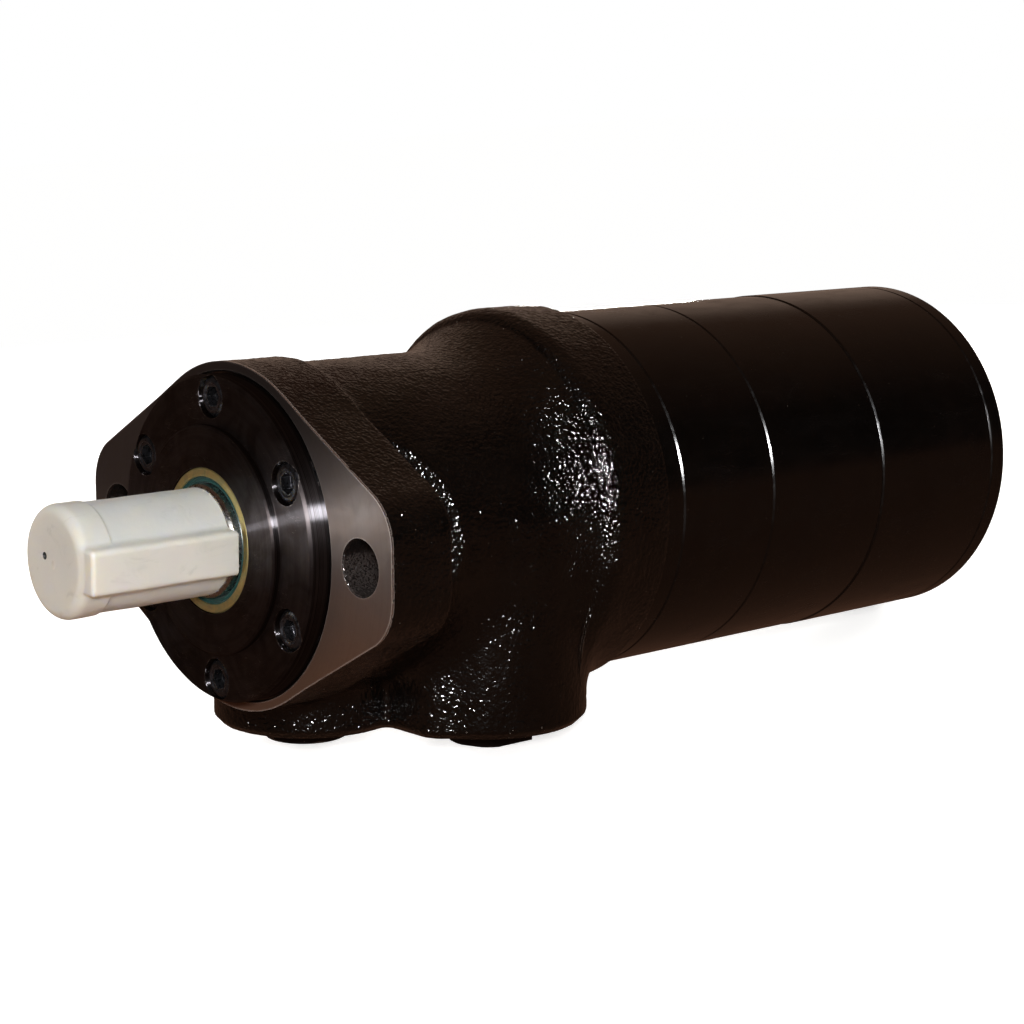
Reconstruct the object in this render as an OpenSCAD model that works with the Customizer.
// Orbital (gerotor) hydraulic motor with a rear spring-applied holding brake.
// Millimetres. Origin: centre of the flange mounting face, on the shaft axis.
// Shaft points to -Y, body runs to +Y, mounting lugs lie along X, port pad faces -Z.

/* [Mounting flange] */
// Pilot (spigot) diameter that centres the motor
pilot_d = 82.5; // [81.5:0.1:83]
// Height of the pilot ring in front of the mounting face
pilot_h = 5.4; // [4.5:0.1:6]
// Height of the raised boss round the shaft seal
boss_h = 7.6; // [7:0.1:9]
// Distance between the two mounting hole centres
lug_spacing = 106.4; // [104:0.1:108]
// Mounting hole diameter
lug_hole_d = 13.5; // [11:0.5:14]
// Thickness of the mounting flange
flange_t = 18.5; // [16:0.5:20]
// Half length of the flange over the lugs
flange_half = 65.2; // [64:0.1:67]
// Radius of the round middle of the flange
flange_mid_r = 44; // [43.5:0.1:45]
// Corner radius of the lug tips
lug_corner_r = 14; // [11:1:15]

/* [Output shaft] */
// Diameter of the keyed output end
shaft_d = 25; // [22:1:25]
// Position of the shaft end in front of the mounting face
shaft_end = 48.8; // [46:0.1:49]
// Diameter of the polished seal journal
journal_d = 28.5; // [28:0.1:28.6]
// Diameter of the spool valve section
spool_d = 39.92; // [39.9:0.01:39.96]
// Key width
key_w = 8; // [6:1:8]
// Key height above the round of the shaft
key_up = 3; // [2:0.5:3.2]
// Key length
key_l = 32; // [25:1:34]
// Angle of the key from +X towards +Z
key_angle = -2; // [-10:1:10]

/* [Shaft cap] */
// Outer diameter of the sleeve
cap_d = 27.1; // [27:0.1:28]
// Outer diameter of the closed end
cap_tip_d = 28; // [27.6:0.1:28.6]
// Position of the closed end in front of the mounting face
cap_end = 50.8; // [50.6:0.1:52]
// Position of the open end in front of the mounting face
cap_mouth = 9.4; // [9:0.1:12]

/* [Body stack] */
// Length of the cast housing
housing_l = 104; // [102:0.5:106]
// Diameter of the housing behind the flange
neck_d = 84.6; // [84:0.1:86]
// Diameter of the housing collar
collar_d = 105; // [104:0.5:106]
// Start of the collar behind the mounting face
collar_y = 87; // [86:0.5:89]
// Thickness of the distributor plate
plate_t = 6.6; // [6:0.1:8]
// Width of the gerotor set, which sets the displacement
gerotor_w = 35; // [20:0.5:40]
// Length of the brake housing
brake_l = 46.4; // [46:0.1:48]
// Length of the brake cylinder
cylinder_l = 50.5; // [50:0.1:52]
// Thickness of the rear cover at its rim
cover_t = 7.5; // [7.5:0.1:9]
// Diameter of the distributor plate, gerotor ring and brake housing
section_d = 100.5; // [100:0.1:101]
// Diameter of the brake cylinder and rear cover
rear_d = 101; // [100.6:0.1:101.2]
// Bevel on the edges of each section
edge_bevel = 0.7; // [0.4:0.1:1]

/* [Gerotor set] */
// Pitch radius of the seven rollers
roller_pitch = 32; // [31.5:0.1:32.2]
// Roller radius
roller_r = 6.75; // [6.6:0.05:6.8]
// Eccentricity of the rotor's orbit
ecc = 2.65; // [2.5:0.05:2.7]
// Running gap between the rotor and the rollers
rotor_gap = 0.1; // [0.07:0.01:0.1]
// Points round the rotor outline
rotor_n = 168; // [120:12:168]

/* [Ports] */
// Sideways offset of each port from the shaft axis
port_x = 18; // [17:0.5:18.5]
// Distance of the front port behind the mounting face
port_y1 = 35; // [34:0.5:36]
// Distance of the rear port behind the mounting face
port_y2 = 70; // [69:0.5:71]
// Depth of the port face below the shaft axis
pad_z = 55; // [53:0.5:56]
// Radius of the front port boss
boss_r1 = 26; // [25:0.5:27]
// Radius of the rear port boss
boss_r2 = 27.5; // [26:0.5:28]
// Width across the flats of the port plugs
plug_af = 22; // [19:1:24]
// Core radius of the port thread
port_r = 9.5; // [9:0.1:10]

/* [Tie bolts and screws] */
// Pitch radius of the seven tie bolts
tie_pitch = 41.8; // [41.6:0.1:42]
// Angle of the first tie bolt from +X towards +Z
tie_phase = -86; // [-88:1:-84]
// Pitch radius of the six front cover screws
screw_pitch = 35.85; // [35.6:0.05:36]

/* [Hidden] */

// front face of each section behind the housing, then the rear end
plate_y = housing_l;
gerotor_y = plate_y + plate_t;
brake_y = gerotor_y + gerotor_w;
cylinder_y = brake_y + brake_l;
cover_y = cylinder_y + cylinder_l;
rear_y = cover_y + cover_t;

// angles; the rotor is offset towards roller 1
step7 = 360 / 7;
ecc_angle = tie_phase + 2.5 * step7;
service_angle = tie_phase + 5.5 * step7; // drain and brake release plugs

// each port as [x, y, turn of its plug]
ports = [[-port_x, port_y1, -19], [port_x, port_y2, -40]];
annulus_half = 4; // half width of the port annuli and spool grooves

cut = 1;          // how far cuts run past a face
seat_y = 8;       // rear face of the front cover
seat_r = 40.3;
bore_r = 20;      // spool bore
channel_pitch = 29;
channel_r = 2.8;
face_seal_r = 47; // ring seals between the sections
cover_seal_r = 29;

white = [0.90, 0.88, 0.85];
paint = [0.05, 0.045, 0.04];
steel = [0.62, 0.62, 0.63];
bright = [0.78, 0.78, 0.8];
bronze = [0.72, 0.52, 0.28];
copper = [0.72, 0.4, 0.22];
rubber = [0.06, 0.06, 0.06];
black = [0.08, 0.08, 0.08];

// ---- helpers: solids on axes parallel to Y, profiles as [radius, y] points ----
module ycyl(radius, from, to, fn = 96)
  translate([0, from, 0]) rotate([-90, 0, 0]) cylinder(r = radius, h = to - from, $fn = fn);
module ycone(r_from, r_to, from, to, fn)
  translate([0, from, 0]) rotate([-90, 0, 0])
    cylinder(r1 = r_from, r2 = r_to, h = to - from, $fn = fn);
module tube(outer, inner, from, to)
  rotate([-90, 0, 0]) rotate_extrude($fn = 96)
    translate([inner, from]) square([outer - inner, to - from]);
module turned(profile, fn = 96)
  rotate([-90, 0, 0]) rotate_extrude($fn = fn) polygon(profile);
module oring(ring_r, wire_r, y)
  rotate([-90, 0, 0]) rotate_extrude($fn = 96) translate([ring_r, y]) circle(r = wire_r, $fn = 24);
module hexbar(across_flats, from, to) ycyl(across_flats / 2 / cos(30), from, to, 6);
// 2D children in X and Z, extruded along Y
module flat(from, to)
  translate([0, to, 0]) rotate([90, 0, 0]) linear_extrude(to - from) children();
// turn about Y, from +X towards +Z
module spin(angle) rotate([0, -angle, 0]) children();
module ring_of(count, pitch, phase = 0)
  for (i = [0 : count - 1]) spin(phase + i * 360 / count) translate([pitch, 0, 0]) children();
module at_ties() ring_of(7, tie_pitch, tie_phase) children();
module at_screws() ring_of(6, screw_pitch, 30) children();
// cylinder pointing away from the shaft axis
module radial_cyl(radius, from, to, angle, y, fn = 48)
  translate([0, y, 0]) spin(angle) translate([from, 0, 0]) rotate([0, 90, 0])
    cylinder(r = radius, h = to - from, $fn = fn);
// disc with bevelled edges
module section(radius, from, to) turned([
  [0, from], [radius - edge_bevel, from], [radius, from + edge_bevel],
  [radius, to - edge_bevel], [radius - edge_bevel, to], [0, to]], 128);
// groove for a face seal in the face at y
module face_groove(y, ring_r = face_seal_r, depth = 1.5)
  tube(ring_r + 1.1, ring_r - 1.1, y - depth, y + cut);
module tie_holes(from, to) at_ties() ycyl(4.2, from - cut, to + cut, 32);
module channels(from) ring_of(7, channel_pitch, tie_phase) ycyl(channel_r, from, gerotor_y, 32);
// circle with straight-sided teeth clipped to a tip radius
module toothed(core_r, tip_r, tooth_w, count, phase = 0, fn = 64) {
  circle(r = core_r, $fn = fn);
  intersection() {
    circle(r = tip_r, $fn = fn);
    union() for (i = [0 : count - 1])
      rotate(phase + i * 360 / count) translate([0, -tooth_w / 2]) square([tip_r + 1, tooth_w]);
  }
}
// internal spline in the output shaft and the rotor
module spline_space() toothed(12, 13.6, 3.4, 12);
// points along a fillet, ends included
function arc(centre_x, centre_y, radius, start, end, steps) = [
  for (i = [0 : steps]) let (angle = start + (end - start) * i / steps)
    [centre_x + radius * cos(angle), centre_y + radius * sin(angle)]];
function roller_angle(i) = ecc_angle + i * step7;

// helical spring along Y: a four-sided wire swept as one closed solid
module coil(ring_r, wire_r, from, to, turns, steps_per_turn) {
  sides = 4;
  steps = turns * steps_per_turn;
  points = [
    for (i = [0 : steps])
      let (turn = i * 360 / steps_per_turn,
        y = from + wire_r + (to - from - 2 * wire_r) * i / steps)
      for (k = [0 : sides - 1])
        let (side = k * 360 / sides, radius = ring_r + wire_r * cos(side))
        [radius * cos(turn), y + wire_r * sin(side), radius * sin(turn)]];
  faces = concat(
    [[for (k = [0 : sides - 1]) k]],
    [for (i = [0 : steps - 1], k = [0 : sides - 1], half = [0, 1])
      let (here = i * sides, ahead = here + sides, next = (k + 1) % sides)
      half == 0 ? [here + k, ahead + k, ahead + next] : [here + k, ahead + next, here + next]],
    [[for (k = [sides - 1 : -1 : 0]) steps * sides + k]]);
  polyhedron(points = points, faces = faces, convexity = 8);
}

// ---- mounting flange outline ----
// centre of a lug corner, and the normal of the tangent from it to the middle circle
lug_c = [flange_half - lug_corner_r, 5.8];
tangent_angle = atan2(lug_c[1], lug_c[0]) + acos((flange_mid_r - lug_corner_r) / norm(lug_c));
// outline drawn in by inset all round
module quarter_flange(inset) {
  normal = [cos(tangent_angle), sin(tangent_angle)];
  mid_point = (flange_mid_r - inset) * normal;
  polygon([[0, 0], [0, mid_point[1]], mid_point, lug_c + (lug_corner_r - inset) * normal,
    lug_c, [flange_half - inset, lug_c[1]], [flange_half - inset, 0]]);
}
module flange_outline(inset = 0) {
  circle(r = flange_mid_r - inset, $fn = 128);
  for (mx = [0, 1], mz = [0, 1]) mirror([mx, 0, 0]) mirror([0, mz, 0]) {
    quarter_flange(inset);
    translate(lug_c) circle(r = lug_corner_r - inset, $fn = 64);
  }
}

// ---- check valves: 0 opens to the rear port, 1 to the front port ----
valve_pitch = 33;
valve_port_y = [port_y2, port_y1];
module at_valve(i)
  translate([valve_pitch * cos(roller_angle(i)), 0, valve_pitch * sin(roller_angle(i))])
    children();
module check_ball(i) at_valve(i) translate([0, 87.2, 0]) sphere(r = 3.5, $fn = 48);
module check_ball_rear() color(bright) check_ball(0);
module check_ball_front() color(bright) check_ball(1);
module check_valve_springs() color(bright)
  for (i = [0, 1]) at_valve(i) coil(2.6, 0.4, 90.1, 98, 4, 9);
module check_valve_plugs() color(steel)
  for (i = [0, 1]) at_valve(i) difference() {
    ycyl(3.97, 98.05, 103.9, 32);
    hexbar(4, 101.4, 104.5);
  }

// ---- drain and brake release plugs ----
drain_y = 94;
drain_face = 51.2; // radius of the spot face
release_y = cylinder_y + 13;
release_face = 49.3;
washer_t = 1;
// threaded hole, cross drilling and spot face
module service_port(y, face, face_r, thread_from, drill_from) {
  radial_cyl(5.7, thread_from, 60, service_angle, y);
  radial_cyl(2, drill_from, thread_from + cut, service_angle, y, 24);
  radial_cyl(face_r, face, 60, service_angle, y);
}
module at_service(y, radius)
  translate([0, y, 0]) spin(service_angle) translate([radius, 0, 0]) rotate([0, 90, 0]) children();
module service_plug(y, face) at_service(y, face + washer_t) difference() {
  union() {
    cylinder(r = 7.6, h = 3.4, $fn = 6);
    cylinder(r = 6.2, h = 3.4, $fn = 48);
    translate([0, 0, -8.6]) cylinder(r = 5.65, h = 9.6, $fn = 48);
  }
  translate([0, 0, 0.8]) cylinder(r = 3.2, h = 4, $fn = 6);
}
module service_washer(y, face) at_service(y, face) difference() {
  cylinder(r = 8.2, h = washer_t, $fn = 48);
  translate([0, 0, -cut]) cylinder(r = 5.75, h = washer_t + 2 * cut, $fn = 48);
}
module drain_plug() color(bright) service_plug(drain_y, drain_face);
module drain_plug_washer() color(copper) service_washer(drain_y, drain_face);
module brake_release_plug() color(bright) service_plug(release_y, release_face);
module brake_release_washer() color(copper) service_washer(release_y, release_face);

// ---- cast housing with the flange, neck, collar and port pad ----
// rounded rear edge of the flange: [from, to, inset], y counted forward from the rear face
flange_steps = [[3.1, 1.6, 0.5], [1.7, 0.6, 1.2], [0.7, 0, 2.2]];
module housing_body() {
  neck_r = neck_d / 2;
  collar_r = collar_d / 2;
  flat(0, flange_t - 3) flange_outline();
  for (row = flange_steps) flat(flange_t - row[0], flange_t - row[1]) flange_outline(row[2]);
  turned(concat([[0, 0.5], [neck_r, 0.5]],
    arc(neck_r + 34, collar_y - 27, 34, 180, 152, 5),
    arc(collar_r - 6, collar_y, 6, -62, 0, 4),
    [[collar_r, plate_y - 1.6], [collar_r - 1.6, plate_y], [0, plate_y]]), 128);
  port_boss(-port_x + 3, port_y1 - 0.5, boss_r1);
  port_boss(port_x - 2.5, port_y2, boss_r2);
  for (m = [0, 1]) translate([0, 52.6, -pad_z]) rotate([0, 0, 180 * m]) pad_corner();
}
module port_boss(x, y, radius) translate([x, y, -pad_z]) {
  bevel = 2;
  cylinder(r1 = radius - bevel, r2 = radius, h = bevel, $fn = 96);
  translate([0, 0, bevel]) cylinder(r = radius, h = pad_z - bevel, $fn = 96);
}
// squared shoulder beside each boss
module pad_corner() {
  translate([0, 0, 0.6]) linear_extrude(1.2) pad_shape(0.8);
  translate([0, 0, 1.5]) linear_extrude(40) pad_shape(0);
}
module pad_shape(inset) polygon(concat(
  [[8, 4], [8, inset - 11.4]], arc(22, -3.4, 8 - inset, -90, 0, 5), [[29 - inset, 3]]));
module at_port(port) translate([port[0], port[1], -pad_z]) children();
module motor_housing() color(paint) difference() {
  housing_body();
  // seat of the front cover, bearing room, spool bore
  ycyl(pilot_d / 2 + 0.35, -cut, 1.5);
  ycyl(seat_r, 1, seat_y);
  ycyl(26, seat_y - cut, 16.5);
  ycyl(bore_r, 16, plate_y + cut);
  // port annuli, threads and drillings
  for (port = ports) {
    tube(25, bore_r - cut, port[1] - annulus_half, port[1] + annulus_half);
    at_port(port) {
      translate([0, 0, -cut]) cylinder(r = port_r, h = 17, $fn = 64);
      translate([-sign(port[0]) * 3, 0, 1]) cylinder(r = 4.5, h = pad_z - 17, $fn = 48);
    }
  }
  // seven commutation channels
  channels(50);
  for (i = [0 : 6]) radial_cyl(2.2, bore_r - cut, channel_pitch, tie_phase + i * step7, 52, 32);
  // mounting holes and threaded holes
  for (side = [-1, 1])
    translate([side * lug_spacing / 2, 0, 0]) ycyl(lug_hole_d / 2, -cut, flange_t + cut, 64);
  at_screws() ycyl(3, seat_y - cut, 24, 32);
  at_ties() ycyl(4, 87.5, plate_y + cut, 32);
  // check valve chambers and their drillings to the port annuli
  for (i = [0, 1]) {
    at_valve(i) {
      ycyl(4, 84, plate_y + cut, 32);
      ycyl(1.6, valve_port_y[i], 85, 24);
    }
    radial_cyl(2.2, 24, valve_pitch + 2.6, roller_angle(i), valve_port_y[i], 24);
  }
  service_port(drain_y, drain_face, 8.8, 42.5, bore_r - cut);
  face_groove(plate_y);
}

// ---- front cover and shaft seal ----
module front_cover() color(paint * 1.6) difference() {
  turned([[0, -boss_h], [28.5, -boss_h], [28.9, -boss_h + 0.4], [28.9, -pilot_h],
    [pilot_d / 2 - 0.6, -pilot_h], [pilot_d / 2, -pilot_h + 0.6], [pilot_d / 2, 0],
    [seat_r - 0.05, 0], [seat_r - 0.05, seat_y], [0, seat_y]], 128);
  // seal room, shaft hole, bearing room
  ycyl(18.35, -boss_h - cut, -0.6);
  ycyl(14.6, -1, 1);
  ycyl(18, 0.4, seat_y + cut);
  at_screws() {
    ycyl(3.3, -8, seat_y + cut, 32);
    ycyl(5.3, -8, 1, 48);
  }
  face_groove(seat_y, cover_seal_r, 1.9);
}
module front_cover_screws() color(black) at_screws() difference() {
  union() {
    ycyl(2.95, 1, 22.5, 32);
    turned([[0, -5], [4.5, -5], [5, -4.5], [5, 1], [0, 1]], 48);
  }
  hexbar(5, -6, -1.8);
}
module front_cover_oring() color(rubber) oring(cover_seal_r, 0.93, seat_y - 0.94);
module seal_case() color([0.72, 0.62, 0.25]) turned([
  [16.1, -boss_h + 0.1], [18.1, -boss_h + 0.1], [18.32, -boss_h + 0.3], [18.32, -0.7],
  [15.6, -0.7], [15.6, -1.6], [17.1, -1.6], [17.1, -boss_h + 1.1], [16.1, -boss_h + 1.1]]);
module seal_lip() color([0.02, 0.30, 0.28]) turned([
  [14.3, -boss_h + 1.7], [14.8, -boss_h + 0.6], [16.05, -boss_h + 0.4],
  [16.05, -boss_h + 1.15], [17.05, -boss_h + 1.15], [17.05, -1.7], [16.5, -1.7],
  [16.5, -4.4], [15.7, -4.4], [15.7, -3.4], [14.6, -3.4], [14.3, -4.2]]);
module seal_garter_spring() color(bright) oring(16.1, 0.36, -2.9);

// ---- shaft bearings ----
needle_pitch = 15.43;
radial_needles = 18;
thrust_needles = 20;
race_t = 1.2;
race_rear_y = 11.3;
thrust_y = (seat_y + race_t + race_rear_y) / 2; // mid plane of the thrust needles
module radial_bearing_cup() color(steel)
  turned([[16.65, 0.5], [17.95, 0.5], [17.95, 7.9], [16.65, 7.9]]);
module radial_bearing_cage() color(bronze) difference() {
  tube(15.95, 14.8, 0.8, 7.6);
  ring_of(radial_needles, needle_pitch) ycyl(1.18, 1.6, 6.8, 24);
}
module radial_bearing_needles() color(bright)
  ring_of(radial_needles, needle_pitch) ycyl(1.1, 1.7, 6.7, 24);
module thrust_race_front() color(steel) tube(25.5, 14.7, seat_y, seat_y + race_t);
module thrust_bearing_cage() color(bronze) difference() {
  tube(25.2, 14.9, thrust_y - 0.5, thrust_y + 0.5);
  for (i = [0 : thrust_needles - 1])
    spin(i * 360 / thrust_needles) translate([16, 9, -1.06]) cube([7.6, 3, 2.12]);
}
module thrust_bearing_needles() color(bright)
  for (i = [0 : thrust_needles - 1])
    radial_cyl(0.98, 16.1, 23.5, i * 360 / thrust_needles, thrust_y, 24);
module thrust_race_rear() color(steel) tube(25.5, 14.3, race_rear_y, race_rear_y + race_t);

// ---- output shaft with spool valve, key and cap ----
shaft_r = shaft_d / 2;
groove_r = 17.5; // floor of the spool grooves
slot_l = 17;
slot_w = 3.4;
key_y = -46.19;  // front end of the key
key_depth = 4;   // key depth below the round of the shaft
module timing_slot(angle, y)
  spin(angle) translate([groove_r, y, -slot_w / 2]) cube([5, slot_l, slot_w]);
module output_shaft() color(steel) difference() {
  spool_r = spool_d / 2;
  journal_r = journal_d / 2;
  shoulder_y = race_rear_y + race_t;
  turned(concat(
    [[0, -shaft_end], [shaft_r - 1, -shaft_end], [shaft_r, -shaft_end + 1], [shaft_r, -9.2],
      [journal_r, -8.4], [journal_r, shoulder_y], [25, shoulder_y], [25, 15.8],
      [spool_r, 15.8]],
    [for (port = ports, point = [[spool_r, -1], [groove_r, -1], [groove_r, 1], [spool_r, 1]])
      [point[0], port[1] + point[1] * annulus_half]],
    [[spool_r, 88], [0, 88]]));
  // twelve timing slots, six open to each groove
  for (i = [0 : 5]) {
    timing_slot(i * 60, port_y1 + 3);
    timing_slot(i * 60 + 30, port_y2 - 3 - slot_l);
  }
  // rear room for the drive link and its spline
  spin(ecc_angle) flat(45, 64) spline_space();
  ycyl(14.2, 64, 89);
  // keyway and centre thread
  spin(key_angle) translate([shaft_r - key_depth, key_y - 0.01, -key_w / 2])
    cube([key_depth + cut, key_l + 0.02, key_w]);
  ycyl(3.4, -shaft_end - cut, -shaft_end + 22, 32);
  ycone(4.6, 3.4, -shaft_end - 0.01, -shaft_end + 1.4, 32);
}
module shaft_key() color(bright) spin(key_angle) intersection() {
  translate([shaft_r - key_depth, key_y, -key_w / 2 + 0.01])
    cube([key_depth + key_up, key_l, key_w - 0.02]);
  // round-ended outline
  translate([0, 0, -key_w / 2]) union() {
    translate([0, key_y + key_w / 2, 0]) cube([30, key_l - key_w, key_w]);
    for (y = [key_w / 2, key_l - key_w / 2])
      translate([0, key_y + y, key_w / 2]) rotate([0, 90, 0])
        cylinder(r = key_w / 2 - 0.01, h = 30, $fn = 48);
  }
}
module shaft_cap() color(white) difference() {
  tip_r = cap_tip_d / 2;
  tip_round = 2.6;
  union() {
    turned(concat([[0, -cap_end]],
      arc(tip_r - tip_round, -cap_end + tip_round, tip_round, -90, 0, 6),
      [[tip_r, -cap_end + 8.2], [cap_d / 2, -cap_end + 8.6],
        [cap_d / 2, -cap_mouth], [0, -cap_mouth]]));
    // raised rib over the key
    spin(key_angle) intersection() {
      translate([0, -cap_end + 0.6, -5.7]) cube([17.1, cap_end - cap_mouth - 0.9, 11.4]);
      translate([10.5, 0, 0]) flat(-cap_end, -cap_mouth) union() {
        circle(r = 6.8, $fn = 64);
        translate([-8, -5.7]) square([8, 11.4]);
        translate([-8, -5.1]) square([14.6, 10.2]);
      }
    }
  }
  // shaft and key room, then a small blind hole in the closed end
  ycyl(shaft_r + 0.06, -shaft_end - 0.2, 0);
  spin(key_angle) translate([0, -shaft_end + 1.5, -key_w / 2 - 0.1])
    cube([shaft_r + key_up + 0.15, 60, key_w + 0.2]);
  translate([-3.6, 0, 1.2]) ycyl(0.7, -cap_end - cut, -cap_end + 1.2, 24);
}

// ---- drive link (cardan), tilted from the shaft axis to the rotor's centre ----
link_front_y = 54;
link_rear_y = gerotor_y + 8.6;
link_head_r = 11.3;
link_neck_r = 8;
module link_head(width) flat(-width / 2, width / 2) toothed(link_head_r, 13.05, 2.5, 12);
module drive_link() color(steel)
  translate([0, link_front_y, 0]) spin(ecc_angle)
    rotate([0, 0, -atan(ecc / (link_rear_y - link_front_y))]) {
      span = norm([ecc, link_rear_y - link_front_y]);
      link_head(12);
      ycyl(link_neck_r, 5, span - 5, 64);
      ycone(link_head_r, link_neck_r, 6, 11, 64);
      ycone(link_neck_r, link_head_r, span - 12, span - 6.5, 64);
      translate([0, span, 0]) link_head(13);
    }

// ---- port plugs ----
plug_head_h = 5.2;
plug_rim_h = 1.7;
module port_plug(turn) difference() {
  thread_r = port_r - 0.05;
  union() {
    rotate([0, 0, turn]) translate([0, 0, -plug_head_h])
      cylinder(r = plug_af / 2 / cos(30), h = plug_head_h - plug_rim_h, $fn = 6);
    translate([0, 0, -plug_rim_h]) cylinder(r = 12.9, h = plug_rim_h, $fn = 64);
    translate([0, 0, -0.1]) cylinder(r = thread_r, h = 12, $fn = 64);
  }
  // hollow inner end and seal groove
  translate([0, 0, 2]) cylinder(r = 7, h = 14, $fn = 48);
  translate([0, 0, -0.9]) difference() {
    cylinder(r = 12, h = 1.2, $fn = 64);
    translate([0, 0, -cut]) cylinder(r = thread_r, h = 4, $fn = 64);
  }
}
module port_plugs() color([0.07, 0.07, 0.07])
  for (port = ports) at_port(port) port_plug(port[2]);
module port_plug_seals() color([0.25, 0.05, 0.03])
  for (port = ports) at_port(port) translate([0, 0, -0.44])
    rotate_extrude($fn = 64) translate([10.8, 0]) circle(r = 0.43, $fn = 24);

// ---- distributor plate and gerotor set ----
end_gap = 0.06; // at each end of the rotor and rollers
module distributor_plate() color(paint) difference() {
  section(section_d / 2, plate_y, gerotor_y);
  ycyl(15.5, plate_y - cut, gerotor_y + cut);
  ring_of(7, channel_pitch, tie_phase) ycyl(channel_r, plate_y - cut, gerotor_y + cut, 32);
  tie_holes(plate_y, gerotor_y);
  face_groove(gerotor_y);
}
module section_orings() color(rubber)
  for (y = [plate_y, gerotor_y, brake_y, cylinder_y]) oring(face_seal_r, 0.72, y - 0.74);
module gerotor_ring() color(paint) difference() {
  section(section_d / 2, gerotor_y, brake_y);
  ycyl(30.8, gerotor_y - cut, brake_y + cut, 128);
  ring_of(7, roller_pitch, ecc_angle)
    ycyl(roller_r + 0.05, gerotor_y - cut, brake_y + cut, 64);
  tie_holes(gerotor_y, brake_y);
  face_groove(brake_y);
}
module roller(i) color(bright) spin(roller_angle(i)) translate([roller_pitch, 0, 0])
  ycyl(roller_r, gerotor_y + end_gap, brake_y - end_gap, 64);
module gerotor_roller_1() roller(0);
module gerotor_roller_2() roller(1);
module gerotor_roller_3() roller(2);
module gerotor_roller_4() roller(3);
module gerotor_roller_5() roller(4);
module gerotor_roller_6() roller(5);
module gerotor_roller_7() roller(6);

// rotor outline: curtate epitrochoid, inset by the roller radius and the gap
function lean(t) = atan(sin(-6 * t) / (roller_pitch / (ecc * 7) - cos(-6 * t)));
function rotor_point(t, inset) = [
  roller_pitch * cos(t) - inset * cos(t + lean(t)) - ecc * cos(7 * t),
  -roller_pitch * sin(t) + inset * sin(t + lean(t)) + ecc * sin(7 * t)];
module rotor_outline() polygon([
  for (i = [0 : rotor_n - 1]) rotor_point(i * 360 / rotor_n, roller_r + rotor_gap)]);
module at_rotor() spin(ecc_angle) translate([ecc, 0, 0]) children();
module gerotor_rotor() color(steel) at_rotor() difference() {
  flat(gerotor_y + end_gap, brake_y - end_gap) difference() {
    rotor_outline();
    circle(r = 11.5, $fn = 64);
  }
  flat(gerotor_y - cut, gerotor_y + 17.5) spline_space();
}
module rotor_bush() color(bronze) at_rotor() tube(11.48, 9.04, brake_y - 16, brake_y - 0.1);

// ---- holding brake ----
stack_y = brake_y + 15.5;    // front of the disc stack
stack_pitch = 4.5;
piston_y = stack_y + 24.65;  // front face of the piston
front_seal_y = cylinder_y + 4.5;
rear_seal_y = cylinder_y + 27.8;
seal_half = 1.3;             // half width of the piston seal grooves
spring_pitch = 25;
module tang_outline(core_r, tip_r, tang_w) toothed(core_r, tip_r, tang_w, 7, ecc_angle, 96);
module brake_housing() color(paint) difference() {
  section(section_d / 2, brake_y, cylinder_y);
  ycyl(18, brake_y - cut, brake_y + 10);
  ycyl(21, brake_y + 9.2, brake_y + 16);
  flat(stack_y, cylinder_y + cut) tang_outline(34.8, 37.1, 8);
  tie_holes(brake_y, cylinder_y);
  face_groove(cylinder_y);
}
module brake_shaft() color(steel) union() {
  at_rotor() ycyl(9, brake_y - 15.6, brake_y + 1, 64);
  ycyl(15, brake_y + 0.9, brake_y + 15.7);
  flat(brake_y + 15.7, stack_y + 24.2) toothed(16.5, 18.5, 4, 10);
  ycyl(10, stack_y + 23, stack_y + 70, 64);
}
module brake_front_bush() color(bronze) tube(17.97, 15.04, brake_y + 1, brake_y + 9.1);
module brake_shaft_seal() color(rubber) tube(20.97, 15.05, brake_y + 9.3, brake_y + 15.3);
module brake_steel_plates() color(steel)
  for (i = [0 : 5]) let (y = stack_y + 0.1 + i * stack_pitch)
    flat(y, y + 2) difference() {
      tang_outline(34, 36.9, 7.7);
      circle(r = 19.4, $fn = 96);
    }
module brake_friction_discs() color([0.45, 0.33, 0.22])
  for (i = [0 : 4]) let (y = stack_y + 2.15 + i * stack_pitch)
    flat(y, y + 2.4) difference() {
      circle(r = 34, $fn = 96);
      toothed(16.6, 18.6, 4.2, 10);
    }
module brake_piston() color(steel) difference() {
  turned([[16, piston_y], [32.6, piston_y], [32.96, piston_y + 0.4],
    [32.96, front_seal_y - seal_half], [30.8, front_seal_y - seal_half],
    [30.8, front_seal_y + seal_half], [32.96, front_seal_y + seal_half],
    [32.96, cylinder_y + 22], [36.15, cylinder_y + 22],
    [36.15, rear_seal_y - seal_half], [33.9, rear_seal_y - seal_half],
    [33.9, rear_seal_y + seal_half], [36.15, rear_seal_y + seal_half],
    [36.15, cylinder_y + 34], [16, cylinder_y + 34]]);
  ring_of(7, spring_pitch, ecc_angle) ycyl(5.2, cylinder_y + 12, cylinder_y + 35, 48);
}
module brake_piston_seals() color(rubber) {
  oring(31.86, 1.04, front_seal_y);
  oring(35, 1.08, rear_seal_y);
}
module brake_springs() color(bright)
  ring_of(7, spring_pitch, ecc_angle) coil(3.9, 0.85, cylinder_y + 12.05, cover_y - 4.45, 5, 10);
module brake_cylinder() color(paint) difference() {
  section(rear_d / 2, cylinder_y, cover_y);
  ycyl(33, cylinder_y - cut, cylinder_y + 9);
  ycyl(36.2, cylinder_y + 8.5, cover_y + cut);
  tie_holes(cylinder_y, cover_y);
  service_port(release_y, release_face, 9, 41, 35);
}

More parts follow.
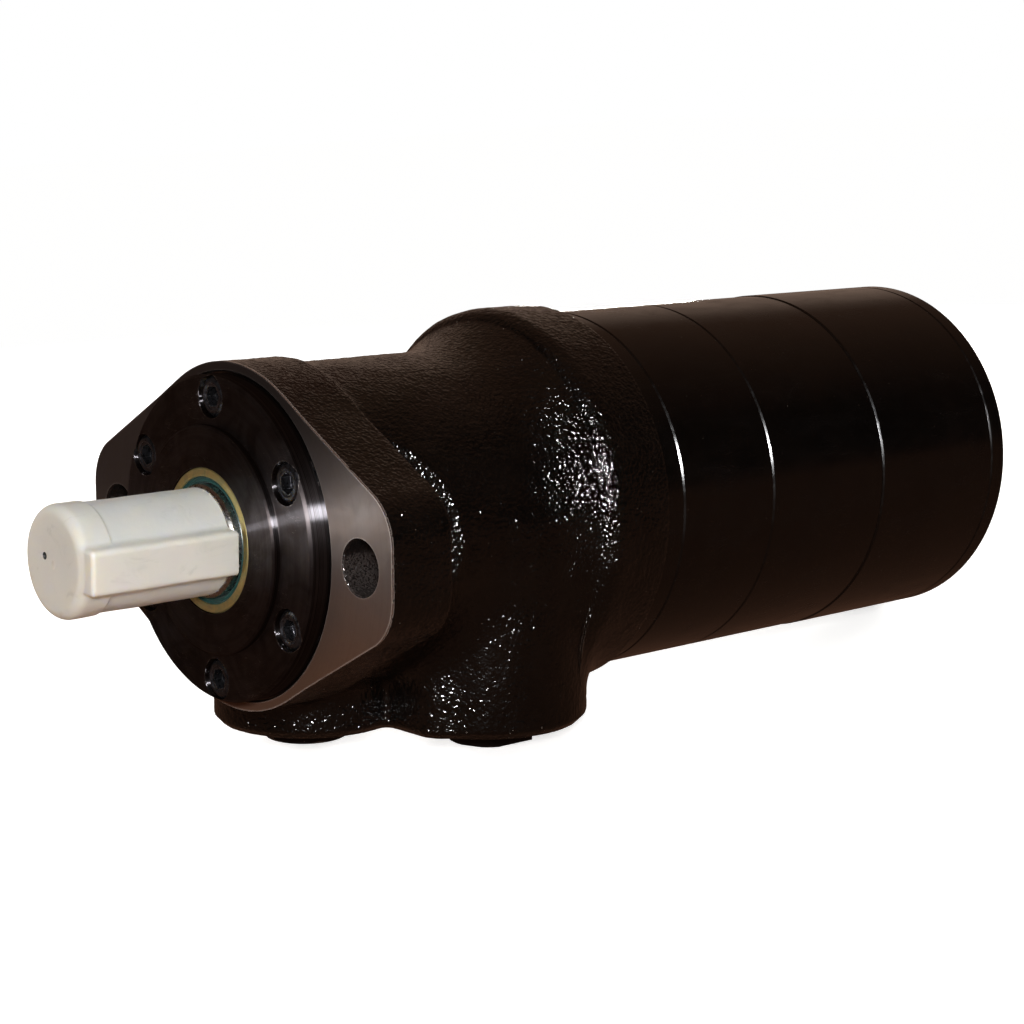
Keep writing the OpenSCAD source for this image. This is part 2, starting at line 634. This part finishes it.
// ---- rear cover and tie bolts ----
head_y = rear_y - 4.7; // seat of the tie bolt heads
module rear_cover() color(paint) difference() {
  rim_r = rear_d / 2;
  union() {
    turned([[0, cover_y], [rim_r - edge_bevel, cover_y], [rim_r, cover_y + edge_bevel],
      [rim_r, rear_y - 1.8], [rim_r - 1.8, rear_y], [0, rear_y]], 128);
    ycyl(36.15, cover_y - 4.4, cover_y + 1);
    ycyl(15.5, cover_y - 26, cover_y + 1);
  }
  ycyl(13, cover_y - 27, cover_y - 8);
  tube(37, 33.7, cover_y - 3.4, cover_y - 0.9);
  tie_holes(cover_y, rear_y);
  at_ties() ycyl(6.75, head_y, rear_y + cut, 48);
}
module rear_cover_oring() color(rubber) oring(34.9, 1.1, cover_y - 2.15);
module brake_rear_bush() color(bronze) tube(12.97, 10.04, cover_y - 25.8, cover_y - 9.8);
module tie_bolts() color(black) at_ties() difference() {
  union() {
    ycyl(3.95, 88, rear_y - 4, 32);
    turned([[0, head_y], [6.5, head_y], [6.5, rear_y - 0.8], [6, rear_y - 0.3],
      [0, rear_y - 0.3]], 48);
  }
  hexbar(5, rear_y - 3.2, rear_y + cut);
}

motor_housing();
front_cover();
front_cover_screws();
front_cover_oring();
seal_case();
seal_lip();
seal_garter_spring();
radial_bearing_cup();
radial_bearing_cage();
radial_bearing_needles();
thrust_race_front();
thrust_bearing_cage();
thrust_bearing_needles();
thrust_race_rear();
output_shaft();
shaft_key();
shaft_cap();
drive_link();
check_ball_front();
check_ball_rear();
check_valve_springs();
check_valve_plugs();
port_plugs();
port_plug_seals();
drain_plug();
drain_plug_washer();
distributor_plate();
section_orings();
gerotor_ring();
gerotor_roller_1();
gerotor_roller_2();
gerotor_roller_3();
gerotor_roller_4();
gerotor_roller_5();
gerotor_roller_6();
gerotor_roller_7();
gerotor_rotor();
rotor_bush();
brake_housing();
brake_shaft();
brake_front_bush();
brake_shaft_seal();
brake_rear_bush();
brake_friction_discs();
brake_steel_plates();
brake_piston();
brake_piston_seals();
brake_springs();
brake_cylinder();
brake_release_plug();
brake_release_washer();
rear_cover();
rear_cover_oring();
tie_bolts();
